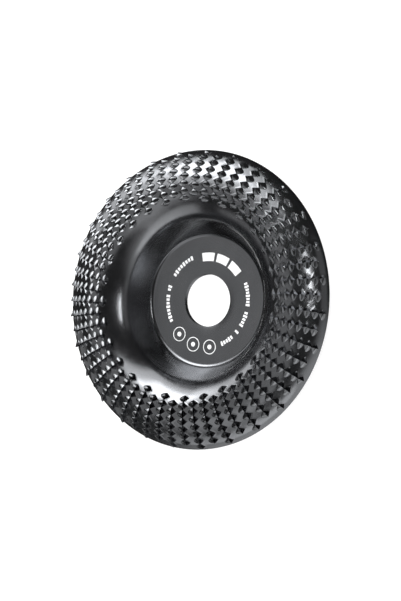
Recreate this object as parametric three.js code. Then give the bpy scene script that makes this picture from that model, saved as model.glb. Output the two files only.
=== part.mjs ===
import * as THREE from 'three';

// Arched woodcarving disc for a 125 mm angle grinder: a dished steel sheet with a recessed flat hub
// and straight rows of rasp teeth over its crown.
// Millimetres, +Z up. The toothed side faces +Z, and the origin is the centre of the bore
// on the back face of the hub.

// Sheet and hub
const DISC_R = 62.5;
const BORE_R = 11.115;
const SHEET_T = 2.2;

// Front of the dished sheet, from the hub floor outwards
const FOOT_FILLET = 2.2;
const WALL_SLOPE = THREE.MathUtils.degToRad(64);
const SHOULDER_ARC = 12.8;
const LIP_ARC = 26;
const LIP_TURN = THREE.MathUtils.degToRad(46);
const CROWN_R = 46.7;
const CROWN_Z = 21.8;
const INNER_ARC = 11;
const INNER_TURN = THREE.MathUtils.degToRad(30);
const OUTER_ARC = 21;
const OUTER_TURN = THREE.MathUtils.degToRad(38);
const RIM_ARC = 8.5;

// Rasp teeth
const ROWS = 56;
const TEETH_PER_ROW = 7;
const TOOTH_PITCH = 3.2;
const TOOTH_BACK = 2.2;
const TOOTH_TIP = 1.1;
const TOOTH_ROOT = 0.25;
const OUTER_ROW_START = -4.8;
const INNER_ROW_START = -7.2;
const FIRST_ROW = THREE.MathUtils.degToRad(12);
const INNER_ROW_SHIFT = THREE.MathUtils.degToRad(0.2);
const ROW_SWEEP = THREE.MathUtils.degToRad(1.3);
const ROW_GAP = 0.1;

// Facets of the turned shapes
const TURN_SEGMENTS = 72;
const FOOT_STEPS = 4;
const SHOULDER_STEPS = 3;
const LIP_STEPS = 2;
const INNER_STEPS = 4;
const OUTER_STEPS = 5;
const RIM_STEPS = 4;

const STEEL = { color: 0x1b1c1e, roughness: 0.3, metalness: 0.7 };
const TOOTH_STEEL = { color: 0x141517, roughness: 0.25, metalness: 0.7 };

const INNER_CENTRE = new THREE.Vector2(CROWN_R, CROWN_Z - INNER_ARC);
const LIP_CENTRE = alongLean(INNER_CENTRE, INNER_ARC - LIP_ARC, -INNER_TURN);
const OUTER_CENTRE = new THREE.Vector2(CROWN_R, CROWN_Z - OUTER_ARC);
const RIM_CENTRE = alongLean(OUTER_CENTRE, OUTER_ARC - RIM_ARC, OUTER_TURN);
const RIM_LEAN = Math.asin((DISC_R - RIM_CENTRE.x) / RIM_ARC);
const INNER_LENGTH = INNER_ARC * INNER_TURN;
const OUTER_LENGTH = OUTER_ARC * OUTER_TURN;

// The point at a distance from a centre in the direction that leans outwards from +Z by an angle.
function alongLean(centre, distance, lean) {
  const reach = new THREE.Vector2(Math.sin(lean), Math.cos(lean)).multiplyScalar(distance);
  return reach.add(centre);
}

// A station is a point on the front of the sheet in the (radius, height) plane, with the lean
// from +Z, outwards, of the normal that points away from the steel.
function stationOnArc(centre, radius, lean) {
  return { point: alongLean(centre, radius, lean), lean };
}

// The crown by distance along the sheet from its top line, outwards positive.
function crownAt(distance) {
  if (distance < -INNER_LENGTH) {
    return stationOnArc(LIP_CENTRE, LIP_ARC, (distance + INNER_LENGTH) / LIP_ARC - INNER_TURN);
  }
  if (distance < 0) {
    return stationOnArc(INNER_CENTRE, INNER_ARC, distance / INNER_ARC);
  }
  if (distance < OUTER_LENGTH) {
    return stationOnArc(OUTER_CENTRE, OUTER_ARC, distance / OUTER_ARC);
  }
  return stationOnArc(RIM_CENTRE, RIM_ARC, OUTER_TURN + (distance - OUTER_LENGTH) / RIM_ARC);
}

// Stations along an arc from one lean to another, both ends included.
function arcStations(centre, radius, fromLean, toLean, steps) {
  const leans = Array.from({ length: steps + 1 }, (_, i) => fromLean + ((toLean - fromLean) * i) / steps);
  return leans.map((lean) => stationOnArc(centre, radius, lean));
}

// The front of the sheet from the bore to the rim: flat hub floor, foot fillet, straight wall,
// shoulder, lip, the two arcs of the crown and the rolled rim. The fillet is hollow, so its
// radius is negative.
function sheetStations() {
  const shoulderCentre = alongLean(LIP_CENTRE, LIP_ARC - SHOULDER_ARC, -LIP_TURN);
  const wallTop = alongLean(shoulderCentre, SHOULDER_ARC, -WALL_SLOPE);
  const filletZ = SHEET_T + FOOT_FILLET;
  const filletDrop = wallTop.y - filletZ + FOOT_FILLET * Math.cos(WALL_SLOPE);
  const footR = wallTop.x - filletDrop / Math.tan(WALL_SLOPE);
  const filletCentre = new THREE.Vector2(footR - FOOT_FILLET * Math.sin(WALL_SLOPE), filletZ);
  return [
    { point: new THREE.Vector2(BORE_R, SHEET_T), lean: 0 },
    ...arcStations(filletCentre, -FOOT_FILLET, 0, -WALL_SLOPE, FOOT_STEPS),
    ...arcStations(shoulderCentre, SHOULDER_ARC, -WALL_SLOPE, -LIP_TURN, SHOULDER_STEPS),
    ...arcStations(LIP_CENTRE, LIP_ARC, -LIP_TURN, -INNER_TURN, LIP_STEPS).slice(1),
    ...arcStations(INNER_CENTRE, INNER_ARC, -INNER_TURN, 0, INNER_STEPS).slice(1),
    ...arcStations(OUTER_CENTRE, OUTER_ARC, 0, OUTER_TURN, OUTER_STEPS).slice(1),
    ...arcStations(RIM_CENTRE, RIM_ARC, OUTER_TURN, RIM_LEAN, RIM_STEPS).slice(1),
  ];
}

// Turns a closed (radius, height) outline, listed counter-clockwise, about the Z axis.
function turned(outline) {
  const geometry = new THREE.LatheGeometry([...outline, outline[0]], TURN_SEGMENTS);
  return geometry.rotateX(Math.PI / 2);
}

function namedMesh(name, geometry, look) {
  const mesh = new THREE.Mesh(geometry, new THREE.MeshStandardMaterial(look));
  mesh.name = name;
  return mesh;
}

// The dished disc: the front stations and the same line set back by the sheet's thickness.
function discBody() {
  const front = sheetStations();
  const back = front.map((s) => alongLean(s.point, -SHEET_T, s.lean));
  const frontPoints = front.map((s) => s.point).reverse();
  return namedMesh('disc_body', turned([...back, ...frontPoints]), STEEL);
}

// A point above the crown at a distance along the sheet, an angle about Z and a height.
function abovePoint(distance, angle, height) {
  const { point, lean } = crownAt(distance);
  const lifted = alongLean(point, height, lean);
  return new THREE.Vector3(lifted.x * Math.cos(angle), lifted.x * Math.sin(angle), lifted.y);
}

// One row of teeth: a wedge that ramps up from its back edge to an upright cutting face.
// The crest of the wedge rises to a tip at each tooth and drops to a root between teeth.
function toothRowGeometry(angle, start) {
  const sections = 2 * TEETH_PER_ROW;
  const positions = [];
  const indices = [];
  for (let i = 0; i <= sections; i++) {
    const distance = start + (i * TOOTH_PITCH) / 2;
    const crestAngle = angle + ROW_SWEEP * (1 - i / sections);
    const backAngle = crestAngle - TOOTH_BACK / crownAt(distance).point.x;
    const rise = i % 2 === 1 ? TOOTH_TIP : TOOTH_ROOT;
    positions.push(...abovePoint(distance, backAngle, ROW_GAP));
    positions.push(...abovePoint(distance, crestAngle, ROW_GAP));
    positions.push(...abovePoint(distance, crestAngle, ROW_GAP + rise));
  }
  for (let i = 0; i < sections; i++) {
    for (let side = 0; side < 3; side++) {
      const a = 3 * i + side;
      const b = 3 * i + ((side + 1) % 3);
      indices.push(a, b, b + 3, a, b + 3, a + 3);
    }
  }
  const last = 3 * sections;
  indices.push(0, 2, 1, last, last + 1, last + 2);
  const geometry = new THREE.BufferGeometry();
  geometry.setAttribute('position', new THREE.Float32BufferAttribute(positions, 3));
  geometry.setIndex(indices);
  geometry.computeVertexNormals();
  return geometry;
}

// Rows that reach the rim alternate with rows that start nearer the bowl.
function toothRow(index) {
  const inner = index % 2 === 1;
  const angle = FIRST_ROW + (index * 2 * Math.PI) / ROWS + (inner ? INNER_ROW_SHIFT : 0);
  const start = inner ? INNER_ROW_START : OUTER_ROW_START;
  const name = `tooth_row_${String(index + 1).padStart(2, '0')}`;
  return namedMesh(name, toothRowGeometry(angle, start), TOOTH_STEEL);
}

const disc = new THREE.Group();
disc.add(discBody());
for (let i = 0; i < ROWS; i++) {
  disc.add(toothRow(i));
}

export default disc;
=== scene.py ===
"""Looks of the arched woodcarving disc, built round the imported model. Metres, +Z to the toothed side."""
import math
import random

import bpy
import numpy as np
from mathutils import Matrix, Vector


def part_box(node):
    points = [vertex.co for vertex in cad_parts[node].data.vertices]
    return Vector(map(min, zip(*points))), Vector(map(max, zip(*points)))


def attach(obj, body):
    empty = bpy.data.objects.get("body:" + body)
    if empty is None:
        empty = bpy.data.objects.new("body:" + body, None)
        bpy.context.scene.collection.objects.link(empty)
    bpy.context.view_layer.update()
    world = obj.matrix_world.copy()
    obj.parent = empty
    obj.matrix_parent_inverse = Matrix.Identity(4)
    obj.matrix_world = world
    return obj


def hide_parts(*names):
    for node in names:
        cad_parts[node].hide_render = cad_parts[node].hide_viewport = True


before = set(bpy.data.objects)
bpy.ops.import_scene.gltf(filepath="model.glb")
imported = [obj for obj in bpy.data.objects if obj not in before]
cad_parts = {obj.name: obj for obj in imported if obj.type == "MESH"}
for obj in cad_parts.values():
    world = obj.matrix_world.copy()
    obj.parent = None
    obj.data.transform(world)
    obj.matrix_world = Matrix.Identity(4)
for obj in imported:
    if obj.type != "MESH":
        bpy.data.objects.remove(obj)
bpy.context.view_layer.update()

MM = 0.001
SEED = 20

# --- Sizes, millimetres. The outer ones come from the frame. ---
DISC_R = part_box("disc_body")[1][0] / MM
CROWN_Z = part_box("disc_body")[1][2] / MM
BORE_R = 11.115
SHEET_T = 2.2

# The sheet's section, from the crown's top inwards and outwards
CROWN_R = 46.7
INNER_ARC = 11.0
INNER_TURN = math.radians(30)
LIP_ARC = 26.0
LIP_TURN = math.radians(46)
SHOULDER_ARC = 12.8
WALL_SLOPE = math.radians(64)
FOOT_FILLET = 2.2
BORE_ROUND = 0.2
BORE_RINGS = 4
OUTER_ARC = 21.0
OUTER_TURN = math.radians(38)
RIM_ARC = 8.5
EDGE_ROUND = 0.35

# How many of the back's last rings stay close together, and one in how many of the others is kept
FINE_BACK = 30
BACK_STEP = 3

# Edges over these angles stay sharp, in degrees
BODY_SHARP = 20
PIECE_SHARP = 30

# Rasp teeth
ROWS = 56
TEETH_PER_ROW = 7
TOOTH_PITCH = 3.2
ROW_LENGTH = TEETH_PER_ROW * TOOTH_PITCH
OUTER_ROW_START = -4.8
INNER_ROW_START = -7.2
FIRST_ROW = math.radians(12)
INNER_ROW_SHIFT = math.radians(0.2)
ROW_SWEEP = math.radians(1.3)
RING_STEP = 0.4

# One tooth: tip and root heights, the pit in front of it and the lobe behind it
TIP_HEIGHT = 1.2
ROOT_HEIGHT = 0.22
END_HEIGHT = 0.06
PIT_DEPTH = 0.95
PIT_LENGTH = 2.5
PIT_NOTCH = 0.35
PIT_SIDE = 0.4
PIT_LIP = 0.04
PIT_EDGE = 0.06
LIP_RUN = 0.15
LIP_FADE = 0.45
PLAIN_COLUMNS = 5
COLUMNS_PER_CELL = 5 + PLAIN_COLUMNS
RIM_PIT_SHARE = 0.75
FOOT_GAP = 0.12
OPEN_NOTCH = 0.1
LOBE_WIDTH = 2.4
LOBE_NOTCH = 0.3
CREST_BOW = 0.28
TIP_ROUND = 1.3
LOBE_ROUND = 1.8
LOBE_SHARES = (1.0, 0.93, 0.8, 0.6, 0.4, 0.2, 0.07)
LOBE_FALL = 0.5
STEPS_PER_TOOTH = 12

# The burr's foot under the steel, its cutting face, and how much painted glint (steel colour lightened
# towards bare steel) each part of it gets
LOBE_SINK = 0.15
FACE_SINK = 0.1
FACE_FOOT = 0.05
FACE_CHAMFER = 0.02
LOBE_GLINT = 0.3
CHAMFER_GLINT = 0.6


# --- The section: stations (radius, height, lean of the normal outwards from +Z) ---
def on_arc(centre, radius, lean):
    return centre[0] + radius * math.sin(lean), centre[1] + radius * math.cos(lean), lean


INNER_CENTRE = (CROWN_R, CROWN_Z - INNER_ARC)
LIP_CENTRE = on_arc(INNER_CENTRE, INNER_ARC - LIP_ARC, -INNER_TURN)[:2]
OUTER_CENTRE = (CROWN_R, CROWN_Z - OUTER_ARC)
RIM_CENTRE = on_arc(OUTER_CENTRE, OUTER_ARC - RIM_ARC, OUTER_TURN)[:2]
RIM_LEAN = math.asin((DISC_R - RIM_CENTRE[0]) / RIM_ARC)
INNER_LENGTH = INNER_ARC * INNER_TURN
LIP_END = -INNER_LENGTH - LIP_ARC * (LIP_TURN - INNER_TURN)
OUTER_LENGTH = OUTER_ARC * OUTER_TURN
CROWN_LENGTH = OUTER_LENGTH + RIM_ARC * (RIM_LEAN - OUTER_TURN)


def crown_at(distance):
    """The front of the sheet by signed distance from the crown's top line, outwards positive."""
    if distance < -INNER_LENGTH:
        return on_arc(LIP_CENTRE, LIP_ARC, (distance + INNER_LENGTH) / LIP_ARC - INNER_TURN)
    if distance < 0:
        return on_arc(INNER_CENTRE, INNER_ARC, distance / INNER_ARC)
    if distance < OUTER_LENGTH:
        return on_arc(OUTER_CENTRE, OUTER_ARC, distance / OUTER_ARC)
    return on_arc(RIM_CENTRE, RIM_ARC, OUTER_TURN + (distance - OUTER_LENGTH) / RIM_ARC)


def bowl_stations():
    """Bore edge, hub floor, foot fillet, straight wall and shoulder, up to the start of the lip."""
    shoulder_centre = on_arc(LIP_CENTRE, LIP_ARC - SHOULDER_ARC, -LIP_TURN)[:2]
    wall_r, wall_z, _ = on_arc(shoulder_centre, SHOULDER_ARC, -WALL_SLOPE)
    foot_z = SHEET_T + FOOT_FILLET * (1 - math.cos(WALL_SLOPE))
    foot_r = wall_r - (wall_z - foot_z) / math.tan(WALL_SLOPE)
    fillet_centre = (foot_r - FOOT_FILLET * math.sin(WALL_SLOPE), SHEET_T + FOOT_FILLET)
    bore_centre = (BORE_R + BORE_ROUND, SHEET_T - BORE_ROUND)
    stations = [on_arc(bore_centre, BORE_ROUND, math.radians(30 * i - 90)) for i in range(BORE_RINGS)]
    stations += [(BORE_R + share * (fillet_centre[0] - BORE_R), SHEET_T, 0.0) for share in (0.3, 0.6, 0.9)]
    stations += [on_arc(fillet_centre, -FOOT_FILLET, -WALL_SLOPE * i / 12) for i in range(13)]
    for i in range(1, 7):
        share = i / 7
        r = foot_r + share * (wall_r - foot_r)
        stations.append((r, foot_z + share * (wall_z - foot_z), -WALL_SLOPE))
    for i in range(9):
        lean = -WALL_SLOPE + (WALL_SLOPE - LIP_TURN) * i / 9
        stations.append(on_arc(shoulder_centre, SHOULDER_ARC, lean))
    return stations


def set_back(station, depth):
    r, z, lean = station
    return r - depth * math.sin(lean), z - depth * math.cos(lean), lean


# --- Meshes ---
def new_mesh_object(name, vertices, faces, sharp_degrees):
    """A smooth-shaded mesh whose edges over the given angle stay sharp. Vertices are in millimetres."""
    mesh = bpy.data.meshes.new(name)
    mesh.from_pydata((np.asarray(vertices) * MM).tolist(), [], faces)
    mesh.polygons.foreach_set("use_smooth", [True] * len(mesh.polygons))
    mesh.set_sharp_from_angle(angle=math.radians(sharp_degrees))
    mesh.validate()
    piece = bpy.data.objects.new(name, mesh)
    bpy.context.scene.collection.objects.link(piece)
    return piece


def grid_faces(rings, columns):
    """Quads of a grid that closes on itself both ways, facing out for rings that run outwards on top."""
    faces = []
    for i in range(rings):
        below = i * columns
        above = ((i + 1) % rings) * columns
        for j in range(columns):
            k = (j + 1) % columns
            faces.append((below + j, above + j, above + k, below + k))
    return faces


def row_start(row):
    return INNER_ROW_START if row % 2 else OUTER_ROW_START


def tooth_phase(row, distance):
    """-1 and 1 half way between teeth, 0 in the middle of one, and the tooth's number in the row."""
    along = (distance - row_start(row)) / TOOTH_PITCH
    tooth = min(max(math.floor(along + 1e-6), 0), TEETH_PER_ROW - 1)
    return 2 * (along - tooth) - 1, tooth


def crest_angle(row, distance):
    share = min(max((distance - row_start(row)) / ROW_LENGTH, 0), 1)
    shift = INNER_ROW_SHIFT if row % 2 else 0.0
    return FIRST_ROW + shift + row * 2 * math.pi / ROWS + ROW_SWEEP * (1 - share)


def pit_columns(row, distance, r):
    """(arc length from the crest, depth) across one row's cell: the cutting foot, pit and plain steel."""
    phase, tooth = tooth_phase(row, distance)
    phase = max(-1.0, min(1.0, phase))
    length = PIT_LENGTH
    if tooth == TEETH_PER_ROW - 1 and row % 2 == 0:
        length *= RIM_PIT_SHARE
    open_end = (tooth == 0 and phase < 0) or (tooth == TEETH_PER_ROW - 1 and phase > 0)
    notch = OPEN_NOTCH if open_end else PIT_NOTCH
    edge = notch + (length - notch) * (1 - abs(phase))
    near = PIT_DEPTH - PIT_SIDE * abs(phase)
    far = (PIT_DEPTH * (1 - PIT_NOTCH / PIT_LENGTH) - PIT_SIDE) * abs(phase)
    if open_end:
        near = PIT_DEPTH * (1 - abs(phase))
        far = 0.0
    cell = 2 * math.pi * r / ROWS
    lip = PIT_LIP * min(1.0, 2 * near / PIT_DEPTH)
    columns = [(-FOOT_GAP, 0.0), (0.0, -near), (edge - PIT_EDGE, -far), (edge, lip), (edge + LIP_RUN, lip)]
    first = edge + LIP_FADE
    last = cell - FOOT_GAP
    for i in range(PLAIN_COLUMNS):
        columns.append((first + (last - first) * i / PLAIN_COLUMNS, 0.0))
    return columns


def front_stations():
    """(station, crown distance) of the front: the bowl first, then rings that fall on every tooth."""
    rings = [(station, None) for station in bowl_stations()]
    lip_steps = 9
    lip_length = INNER_ROW_START - RING_STEP - LIP_END
    distances = [LIP_END + lip_length * i / lip_steps for i in range(lip_steps)]
    count = math.floor((CROWN_LENGTH - INNER_ROW_START) / RING_STEP) + 1
    distances += [INNER_ROW_START - RING_STEP / 2] + [INNER_ROW_START + RING_STEP * i for i in range(count)]
    distances = [d for d in distances if d < CROWN_LENGTH - EDGE_ROUND - 0.1] + [CROWN_LENGTH - EDGE_ROUND]
    return rings + [(crown_at(distance), distance) for distance in distances]


def edge_stations(last_front):
    """The rounded edge of the rim, from the front to the back."""
    lean = last_front[2]
    near = set_back(last_front, EDGE_ROUND)[:2]
    far = set_back(last_front, SHEET_T - EDGE_ROUND)[:2]
    quarter = [math.radians(18 * i) for i in range(6)]
    edge = [on_arc(near, EDGE_ROUND, lean + turn) for turn in quarter[1:]]
    return edge + [on_arc(far, EDGE_ROUND, lean + math.radians(90) + turn) for turn in quarter[:-1]]


def build_body():
    front = front_stations()
    back = [set_back(station, SHEET_T) for station, _ in front[:BORE_RINGS - 1:-1]]
    back.append((BORE_R + BORE_ROUND, 0.0, 0.0))
    back.append((BORE_R, BORE_ROUND, 0.0))
    coarse = back[:-FINE_BACK:BACK_STEP] + back[-FINE_BACK:]
    rings = front + [(station, None) for station in edge_stations(front[-1][0]) + coarse]
    vertices = np.zeros((len(rings), ROWS * COLUMNS_PER_CELL, 3))
    for i, ((r, z, lean), distance) in enumerate(rings):
        probe = distance
        if probe is None:
            probe = LIP_END if r < CROWN_R else CROWN_LENGTH
        for row in range(ROWS):
            crest = crest_angle(row, probe)
            for j, (t, height) in enumerate(pit_columns(row, probe, crown_at(probe)[0])):
                angle = crest + t / crown_at(probe)[0]
                lift = height if distance is not None else 0.0
                rr = r + lift * math.sin(lean)
                zz = z + lift * math.cos(lean)
                vertices[i, row * COLUMNS_PER_CELL + j] = (rr * math.cos(angle), rr * math.sin(angle), zz)
    faces = grid_faces(len(rings), ROWS * COLUMNS_PER_CELL)
    return new_mesh_object("disc_shell", vertices.reshape(-1, 3), faces, BODY_SHARP)


def burr_section(phase, notch_height, notch_width, lift):
    """Across one row at a phase of its tooth: (arc length from the crest, height, painted glint share),
    going round.
    """
    spread = 1 - abs(phase) ** LOBE_ROUND
    height = notch_height + (TIP_HEIGHT * lift - notch_height) * (1 - abs(phase) ** TIP_ROUND)
    width = notch_width + (LOBE_WIDTH - notch_width) * spread
    forward = CREST_BOW * spread
    depth = PIT_DEPTH - PIT_SIDE * abs(phase) + FACE_SINK
    points = [(-width, -LOBE_SINK, 0.0)]
    for share in LOBE_SHARES:
        behind = (width + forward) * share
        facet = TIP_HEIGHT * lift * (1 - behind / (LOBE_WIDTH + CREST_BOW))
        rise = min(facet, height * (1 - share) ** LOBE_FALL)
        # Painted glint, fading from the crest down the lobe's back
        points.append((forward - behind, rise, LOBE_GLINT * (1 - share)))
    # The crest and its chamfer carry the most painted glint
    points.append((forward, height, 1.0))
    points.append((forward + FACE_CHAMFER, 0.9 * height, CHAMFER_GLINT))
    points.append((0.35 * forward - FACE_CHAMFER, 0.25 * height, 0.0))
    points.append((FACE_FOOT, -depth, 0.0))
    return points


def build_burrs(row, dice):
    """The raised, serrated strip of one row, closed at both ends."""
    lifts = [dice.uniform(0.9, 1.08) for _ in range(TEETH_PER_ROW)]
    phases = [-math.cos(math.pi * i / STEPS_PER_TOOTH) for i in range(STEPS_PER_TOOTH + 1)]
    sections = []
    for tooth in range(TEETH_PER_ROW):
        for phase in phases if tooth == TEETH_PER_ROW - 1 else phases[:-1]:
            sections.append((tooth, phase))
    vertices = []
    painted_glint = []
    for tooth, phase in sections:
        distance = row_start(row) + TOOTH_PITCH * (tooth + (phase + 1) / 2)
        at_end = (tooth == 0 and phase < 0) or (tooth == TEETH_PER_ROW - 1 and phase > 0)
        notch_height = END_HEIGHT if at_end else ROOT_HEIGHT
        notch_width = OPEN_NOTCH if at_end else LOBE_NOTCH
        r, z, lean = crown_at(distance)
        crest = crest_angle(row, distance)
        for t, height, glint_share in burr_section(phase, notch_height, notch_width, lifts[tooth]):
            a = crest + t / r
            rr = r + height * math.sin(lean)
            vertices.append((rr * math.cos(a), rr * math.sin(a), z + height * math.cos(lean)))
            # Each point's painted glint share, made a little uneven
            painted_glint.append(glint_share * dice.uniform(0.5, 1.0))
    around = len(vertices) // len(sections)
    faces = []
    for i in range(len(sections) - 1):
        for j in range(around):
            k = (j + 1) % around
            a = i * around
            b = a + around
            faces.append((a + j, b + j, b + k, a + k))
    faces.append(tuple(range(around)))
    faces.append(tuple((len(sections) - 1) * around + j for j in range(around - 1, -1, -1)))
    piece = new_mesh_object(f"burr_row_{row + 1:02d}", vertices, faces, PIECE_SHARP)
    # The painted glint goes to the material as a point attribute
    attribute = piece.data.attributes.new("painted_glint", "FLOAT", "POINT")
    attribute.data.foreach_set("value", painted_glint)
    return piece


# --- Marking: plain bars, blocks and rings that say nothing ---
PRINT_LIFT = 0.02
PRINT_SINK = 0.02
PRINT_R = 19.8
BLOCK_R = 18.6
BLOCK_HEIGHT = 3.6
# (from, to) in degrees round the bore, and (from, to, number of bars)
BLOCKS = ((42, 60), (64, 82), (86, 104))
WORDS = (
    (118, 154, 8),
    (166, 174, 2),
    (178, 214, 8),
    (297, 316, 5),
    (322, 326, 1),
    (332, 352, 5),
    (358, 388, 8),
)
TALL_BAR = 1.9
SHORT_BAR = 1.5
BAR_SHARE = 0.68
ICON_ANGLES = (232, 256, 280)
ICON_R = 3.1
ICON_LINE = 0.32
ICON_DOT_R = 1.0


def arc_points(x, y, radius, angles):
    return [(x + radius * math.cos(a), y + radius * math.sin(a)) for a in angles]


class Outline:
    """Collects flat printed shapes, each a thin closed slab on the hub's face."""

    def __init__(self):
        self.vertices = []
        self.faces = []

    def slab(self, points):
        """A closed slab from a counter-clockwise list of (x, y)."""
        base = len(self.vertices)
        n = len(points)
        self.vertices += [(x, y, SHEET_T - PRINT_SINK) for x, y in points]
        self.vertices += [(x, y, SHEET_T + PRINT_LIFT) for x, y in points]
        self.faces.append(tuple(base + i for i in range(n - 1, -1, -1)))
        self.faces.append(tuple(base + n + i for i in range(n)))
        for i in range(n):
            k = (i + 1) % n
            self.faces.append((base + i, base + k, base + n + k, base + n + i))

    def bar(self, middle_r, height, from_deg, to_deg):
        """A bent bar that follows a circle round the bore."""
        steps = max(1, round(abs(to_deg - from_deg) / 2))
        angles = [math.radians(from_deg + (to_deg - from_deg) * i / steps) for i in range(steps + 1)]
        outer = arc_points(0, 0, middle_r + height / 2, angles)
        inner = arc_points(0, 0, middle_r - height / 2, angles)
        self.slab(outer + inner[::-1])

    def ring(self, x, y, radius, width, segments=40):
        """A plain ring as a chain of closed slabs that share no faces."""
        for half in range(2):
            angles = [math.pi * (half + i / (segments // 2)) for i in range(segments // 2 + 1)]
            outer = arc_points(x, y, radius, angles)
            inner = arc_points(x, y, radius - width, angles)
            self.slab(outer + inner[::-1])

    def dot(self, x, y, radius, segments=16):
        self.slab(arc_points(x, y, radius, [2 * math.pi * i / segments for i in range(segments)]))


def build_print():
    """Three blocks at the top, words of short bars round the rest, and three ringed dots."""
    marks = Outline()
    for from_deg, to_deg in BLOCKS:
        marks.bar(BLOCK_R, BLOCK_HEIGHT, from_deg, to_deg)
    for from_deg, to_deg, count in WORDS:
        pitch = (to_deg - from_deg) / count
        for i in range(count):
            start = from_deg + pitch * i
            height = SHORT_BAR if i % 3 else TALL_BAR
            marks.bar(PRINT_R, height, start, from_deg + pitch * (i + BAR_SHARE))
    for degrees in ICON_ANGLES:
        x = PRINT_R * math.cos(math.radians(degrees))
        y = PRINT_R * math.sin(math.radians(degrees))
        marks.ring(x, y, ICON_R, ICON_LINE)
        marks.dot(x, y, ICON_DOT_R)
    return new_mesh_object("hub_print", marks.vertices, marks.faces, PIECE_SHARP)


# --- Materials ---
class Shader:
    """A small helper round one material's node tree."""

    def __init__(self, name, **sockets):
        self.material = bpy.data.materials.new(name)
        self.material.use_nodes = True
        self.nodes = self.material.node_tree.nodes
        self.links = self.material.node_tree.links
        self.base = self.nodes["Principled BSDF"]
        self.place = self.nodes.new("ShaderNodeTexCoord").outputs["Object"]
        for socket, value in sockets.items():
            self.base.inputs[socket.replace("_", " ")].default_value = value

    def noise(self, scale, detail=4.0, roughness=0.55):
        node = self.nodes.new("ShaderNodeTexNoise")
        node.inputs["Scale"].default_value = scale
        node.inputs["Detail"].default_value = detail
        node.inputs["Roughness"].default_value = roughness
        self.links.new(self.place, node.inputs["Vector"])
        return node.outputs["Fac"]

    def between(self, value, low, high, from_low=0.3, from_high=0.7):
        node = self.nodes.new("ShaderNodeMapRange")
        node.inputs["From Min"].default_value = from_low
        node.inputs["From Max"].default_value = from_high
        node.inputs["To Min"].default_value = low
        node.inputs["To Max"].default_value = high
        self.links.new(value, node.inputs["Value"])
        return node.outputs["Result"]

    def mix(self, share, first, second):
        """Mixes two colours; each is a constant colour or an output."""
        node = self.nodes.new("ShaderNodeMix")
        node.data_type = "RGBA"
        self.links.new(share, node.inputs["Factor"])
        for value, socket in ((first, node.inputs[6]), (second, node.inputs[7])):
            if isinstance(value, bpy.types.NodeSocket):
                self.links.new(value, socket)
            else:
                socket.default_value = (*value, 1.0)
        return node.outputs[2]

    def bump(self, height, strength, distance, under=None):
        node = self.nodes.new("ShaderNodeBump")
        node.inputs["Strength"].default_value = strength
        node.inputs["Distance"].default_value = distance
        self.links.new(height, node.inputs["Height"])
        if under is not None:
            self.links.new(under, node.inputs["Normal"])
        return node.outputs["Normal"]

    def feed(self, socket, value):
        self.links.new(value, self.base.inputs[socket])


def black_gloss():
    """Black-finished pressed steel: glossy, with a faint orange peel and cloudy roughness."""
    shader = Shader("black_gloss", Metallic=1.0)
    cloud = shader.noise(60, 5)
    share = shader.between(cloud, 0, 1)
    shader.feed("Base Color", shader.mix(share, (0.185, 0.190, 0.199), (0.210, 0.215, 0.225)))
    shader.feed("Roughness", shader.between(shader.noise(220, 6), 0.17, 0.24))
    peel = shader.bump(shader.noise(700, 3), 0.03, 0.00005)
    shader.feed("Normal", shader.bump(shader.noise(3600, 2), 0.04, 0.00002, peel))
    return shader.material


def tooth_black():
    """The same finish on the burrs, with a painted glint: the steel colour is lightened towards bare steel
    along the cutting edges.
    """
    shader = Shader("tooth_black", Metallic=1.0)
    attribute = shader.nodes.new("ShaderNodeAttribute")
    attribute.attribute_name = "painted_glint"
    # Painted glint: where the share is high, the colour moves to a light bare-steel grey
    edge = shader.between(attribute.outputs["Fac"], 0.0, 0.75, 0.45, 1.0)
    shader.feed("Base Color", shader.mix(edge, (0.190, 0.195, 0.204), (0.50, 0.50, 0.51)))
    shader.feed("Roughness", shader.between(shader.noise(500, 5), 0.12, 0.26))
    shader.feed("Normal", shader.bump(shader.noise(1500, 3), 0.35, 0.00005))
    return shader.material


def print_white():
    """Matt white ink, a little thin in places."""
    shader = Shader("print_white", Roughness=0.55)
    share = shader.between(shader.noise(1400, 5), 0, 1)
    shader.feed("Base Color", shader.mix(share, (0.80, 0.81, 0.82), (0.95, 0.95, 0.95)))
    shader.feed("Normal", shader.bump(shader.noise(5000, 2), 0.2, 0.00001))
    return shader.material


def pale_floor():
    """Even grey that glows a little, so that the studio is pale from every side."""
    shader = Shader("pale_floor", Roughness=0.9)
    shader.base.inputs["Emission Color"].default_value = (1, 1, 1, 1)
    shader.base.inputs["Emission Strength"].default_value = 0.75
    shader.feed("Base Color", shader.mix(shader.noise(3, 2), (0.39, 0.39, 0.39), (0.41, 0.41, 0.41)))
    return shader.material


def finish_piece(piece, material, slot, *nodes):
    piece.data.materials.append(material)
    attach(piece, "root")
    if nodes:
        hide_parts(*nodes)


# --- Stage: floor, soft studio lights and camera ---
TILT = math.radians(31.9)
ROLL = math.radians(5.88)
CAMERA_DISTANCE = 0.5
LENS = 71.85
SENSOR = 36
SHIFT = (0.0113, -0.0025)
GLOW_WAY = (0.45, -0.82, -0.34)
GLOW_EDGE = 0.28
GLOW_BRIGHT = 0.85
WORLD_DIM = 0.05
AIM = Vector((0, 0, 0.0131))
STUDIO_R = 3.0
STUDIO_HEIGHT = 4.0
WALL_SIDES = 48


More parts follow.
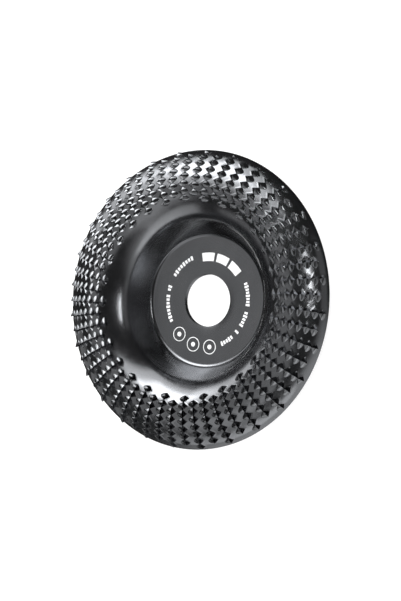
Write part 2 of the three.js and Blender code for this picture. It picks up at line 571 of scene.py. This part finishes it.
def softbox(name, azimuth, elevation, width, height, radiance, distance=1.0, mirrored=True):
    """A rectangular light that faces the disc; radiance is what a mirror would show of it.

    Angles are in degrees and sizes in metres. One that isn't mirrored only lights rough surfaces.
    """
    a = math.radians(azimuth)
    e = math.radians(elevation)
    way = Vector((math.cos(e) * math.cos(a), math.cos(e) * math.sin(a), math.sin(e)))
    light = bpy.data.lights.new(name, "AREA")
    light.shape = "RECTANGLE"
    light.size = width
    light.size_y = height
    light.energy = radiance * math.pi * width * height
    lamp = bpy.data.objects.new(name, light)
    lamp.location = AIM + way * distance
    lamp.rotation_euler = way.to_track_quat("Z", "Y").to_euler()
    lamp.visible_glossy = mirrored
    bpy.context.scene.collection.objects.link(lamp)


def light_world(world):
    """A dim studio with a wide soft glow from low in front."""
    nodes = world.node_tree.nodes
    links = world.node_tree.links
    way = nodes.new("ShaderNodeTexCoord").outputs["Generated"]
    facing = nodes.new("ShaderNodeVectorMath")
    facing.operation = "DOT_PRODUCT"
    links.new(way, facing.inputs[0])
    facing.inputs[1].default_value = GLOW_WAY
    glow = nodes.new("ShaderNodeMapRange")
    glow.interpolation_type = "SMOOTHERSTEP"
    glow.inputs["From Min"].default_value = GLOW_EDGE
    glow.inputs["From Max"].default_value = 1.0
    glow.inputs["To Min"].default_value = WORLD_DIM
    glow.inputs["To Max"].default_value = GLOW_BRIGHT
    links.new(facing.outputs["Value"], glow.inputs["Value"])
    background = nodes["Background"]
    background.inputs["Color"].default_value = (1, 1, 1, 1)
    links.new(glow.outputs["Result"], background.inputs["Strength"])


def stage_sheet(name, corners, faces, material):
    """Part of the pale studio. It is hidden from reflections, which only show the lights."""
    mesh = bpy.data.meshes.new(name)
    mesh.from_pydata(corners, [], faces)
    sheet = bpy.data.objects.new(name, mesh)
    bpy.context.scene.collection.objects.link(sheet)
    sheet.data.materials.append(material)
    sheet.visible_glossy = False
    sheet.visible_shadow = False


def build_stage():
    """Pale floor and backdrop, the world, and lights by azimuth, elevation, width, height and radiance."""
    pale = pale_floor()
    turns = [2 * math.pi * i / WALL_SIDES for i in range(WALL_SIDES)]
    foot = [(STUDIO_R * math.cos(a), STUDIO_R * math.sin(a), 0) for a in turns]
    top = [(x, y, STUDIO_HEIGHT) for x, y, _ in foot]
    sides = []
    for i in range(WALL_SIDES):
        k = (i + 1) % WALL_SIDES
        sides.append((i, WALL_SIDES + i, WALL_SIDES + k, k))
    stage_sheet("floor", foot, [tuple(range(WALL_SIDES))], pale)
    stage_sheet("backdrop", foot + top, sides, pale)
    world = bpy.data.worlds.new("studio")
    world.use_nodes = True
    light_world(world)
    bpy.context.scene.world = world
    bpy.context.scene.view_settings.view_transform = "Standard"
    softbox("key", 121, 35, 1.1, 0.95, 1.9)
    softbox("key_core", 123, 35, 0.55, 0.5, 4.4)
    softbox("key_side", 153, 13, 0.55, 0.45, 1.8)
    softbox("back", 275, 14, 1.6, 0.5, 0.75)
    softbox("overhead", 230, 66, 1.2, 0.9, 0.4)
    softbox("spark", 21, 41, 0.06, 0.014, 9, distance=0.155)
    softbox("side", 205, 0, 0.55, 0.5, 0.4)
    softbox("right", 14, 8, 1.0, 0.6, 0.2)
    softbox("front", 256, 46, 0.8, 0.5, 0.45)
    softbox("fill", 0, 75, 1.5, 1.5, 1.1, distance=1.2, mirrored=False)


def build_camera():
    back = Vector((math.sin(TILT), 0, math.cos(TILT)))
    side = Vector((math.cos(TILT), 0, -math.sin(TILT)))
    up = Vector((0, 1, 0))
    right = side * math.cos(ROLL) + up * math.sin(ROLL)
    upward = up * math.cos(ROLL) - side * math.sin(ROLL)
    data = bpy.data.cameras.new("camera")
    data.lens = LENS
    data.sensor_width = SENSOR
    data.shift_x, data.shift_y = SHIFT
    camera = bpy.data.objects.new("camera", data)
    turn = Matrix((right, upward, back)).transposed().to_4x4()
    camera.matrix_world = Matrix.Translation(AIM + back * CAMERA_DISTANCE) @ turn
    bpy.context.scene.collection.objects.link(camera)
    bpy.context.scene.camera = camera


build_camera()
build_stage()
finish_piece(build_body(), black_gloss(), "disc_steel", "disc_body")
finish_piece(build_print(), print_white(), "marking")
burr_finish = tooth_black()
dice = random.Random(SEED)
for index in range(ROWS):
    finish_piece(build_burrs(index, dice), burr_finish, "tooth_steel", f"tooth_row_{index + 1:02d}")
